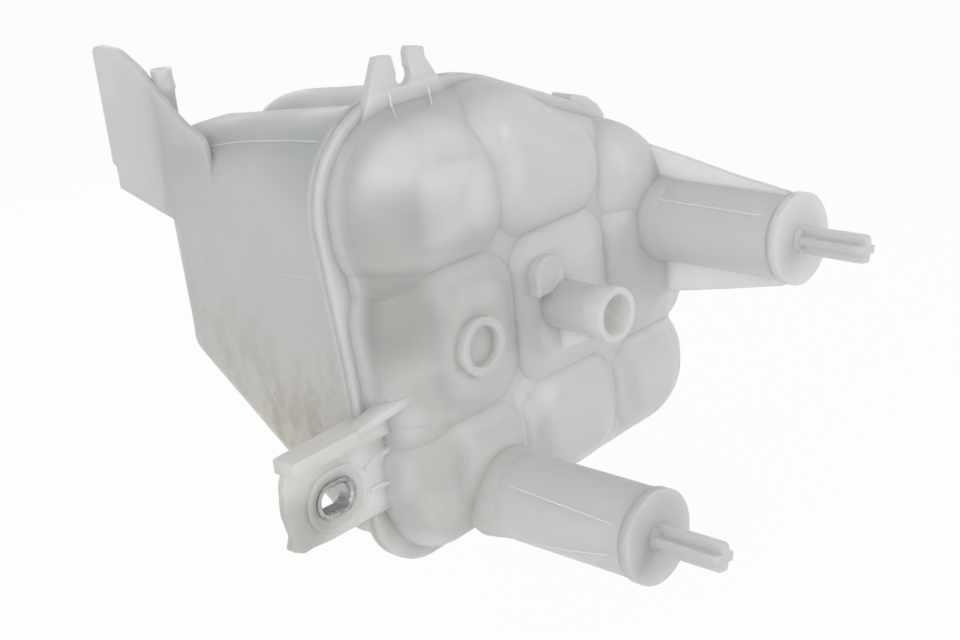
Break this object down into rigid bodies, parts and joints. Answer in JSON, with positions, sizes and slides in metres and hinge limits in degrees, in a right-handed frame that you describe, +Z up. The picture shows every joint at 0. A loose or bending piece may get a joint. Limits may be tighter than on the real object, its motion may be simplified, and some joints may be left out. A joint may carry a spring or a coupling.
{
  "type": "coolant expansion tank",
  "caption": "Translucent plastic coolant expansion tank with pillow-shaped lobes, locating posts with cross pins, a bolt ear, hose pipe, nipple and filler neck.",
  "frame": {"origin": "centre of the lower locating post's end disc, on its front face", "axes": "+Z up; -Y the way the two locating posts and their pins point; +X to the right when the tank is seen from the posts' side"},
  "size_m": [0.182, 0.2105, 0.1667],
  "materials": {
    "natural_plastic": "milky translucent, satin",
    "sleeve_steel": "plated"
  },
  "bodies": {
    "root": {"front_shell": "natural_plastic", "rear_shell": "natural_plastic", "mounting_sleeve": "sleeve_steel"}
  },
  "joints": []
}
